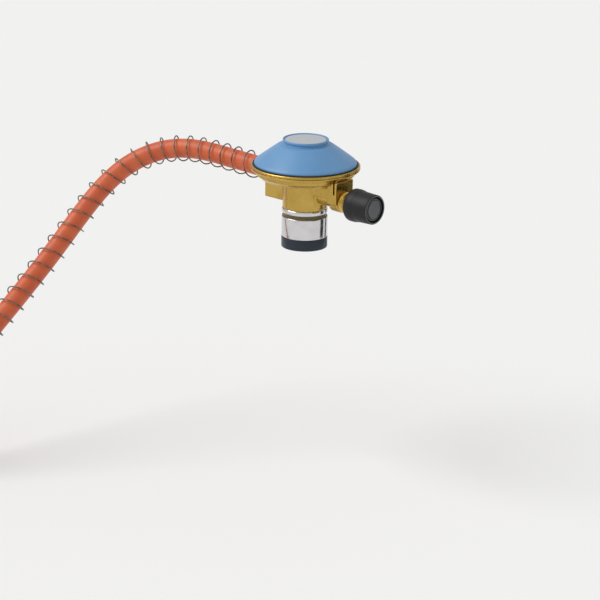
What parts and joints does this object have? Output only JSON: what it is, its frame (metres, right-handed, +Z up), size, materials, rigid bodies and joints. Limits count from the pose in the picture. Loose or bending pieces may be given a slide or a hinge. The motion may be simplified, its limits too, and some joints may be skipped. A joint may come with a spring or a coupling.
{
  "type": "gas cartridge regulator with hose",
  "caption": "Screw-on gas cartridge regulator with a domed cover, a shut-off knob and a wire-guarded rubber hose that ends in a union nut.",
  "frame": {"origin": "centre of the mouth of the cartridge thread, at the bottom face of the connector", "axes": "+Z up along the thread's axis, out of the cartridge; +X along the shut-off knob's axis, away from the neck; the hose leaves along -X"},
  "size_m": [0.3836, 0.3199, 0.2275],
  "materials": {
    "brass": "satin, lacquered",
    "turned_brass": "bright turned",
    "bronze": "sintered, rough",
    "chrome": "polished, bright",
    "dark_polymer": "smooth, slightly sheened",
    "blue_paint": "satin enamel",
    "badge_grey": "smooth matt",
    "black_rubber": "matt",
    "steel": "zinc plated, satin",
    "spring_steel": "drawn wire, dull",
    "knob_plastic": "fine moulded grain",
    "cap_plastic": "smooth",
    "orange_rubber": "semi-matt, smooth"
  },
  "bodies": {
    "regulator": {"body_casting": "brass", "connector_sleeve": "chrome", "base_ring": "dark_polymer", "inlet_insert": "turned_brass", "cartridge_seal": "black_rubber", "opener_pin": "turned_brass", "inlet_filter": "bronze", "inlet_jet": "turned_brass", "lever_pin": "steel", "diaphragm": "black_rubber", "regulator_spring": "spring_steel", "spring_adjuster": "turned_brass", "cover": "blue_paint", "cover_badge": "badge_grey", "rim_gasket": "black_rubber", "valve_bonnet": "turned_brass", "spindle_oring": "black_rubber", "outlet_tail": "turned_brass", "hose": "orange_rubber", "hose_guard": "spring_steel", "end_ferrule": "steel", "end_tail": "turned_brass"},
    "valve_disc": {"pad_holder": "turned_brass", "shutoff_pad": "black_rubber"},
    "knob": {"knob": "knob_plastic", "knob_cap": "cap_plastic", "knob_screw": "steel", "spindle": "turned_brass"},
    "diaphragm_set": {"diaphragm_plate": "steel", "stem": "steel", "stem_nut": "steel"},
    "lever_set": {"lever": "steel", "valve_pad": "black_rubber"},
    "end_nut": {"union_nut": "turned_brass"}
  },
  "joints": [
    {"name": "valve_lift", "type": "slide", "parent": "regulator", "child": "valve_disc", "axis": [1, 0, 0], "range_m": [0, 0.00125]},
    {"name": "knob_turn", "type": "hinge", "parent": "valve_disc", "child": "knob", "pos_m": [0.045, 0, 0.0373], "axis": [1, 0, 0], "range_deg": [0, 450]},
    {"name": "diaphragm_lift", "type": "slide", "parent": "regulator", "child": "diaphragm_set", "axis": [0, 0, 1], "range_m": [0, 0.0016], "stiffness_N_per_m": 1500, "springref_m": -0.004, "deforming": ["regulator_spring", "diaphragm"]},
    {"name": "lever_tilt", "type": "hinge", "parent": "regulator", "child": "lever_set", "pos_m": [0.008, 0, 0.0522], "axis": [0, 1, 0], "range_deg": [0, 11.6]},
    {"name": "nut_turn", "type": "hinge", "parent": "regulator", "child": "end_nut", "pos_m": [-0.172, -0.196, -0.144], "axis": [0.1219, -0.9925, 0], "continuous": true}
  ],
  "couplings": [
    {"joint": "knob_turn", "follows": "valve_lift", "rad_per_m": 6283.2},
    {"joint": "lever_tilt", "follows": "diaphragm_lift", "rad_per_m": 125}
  ]
}
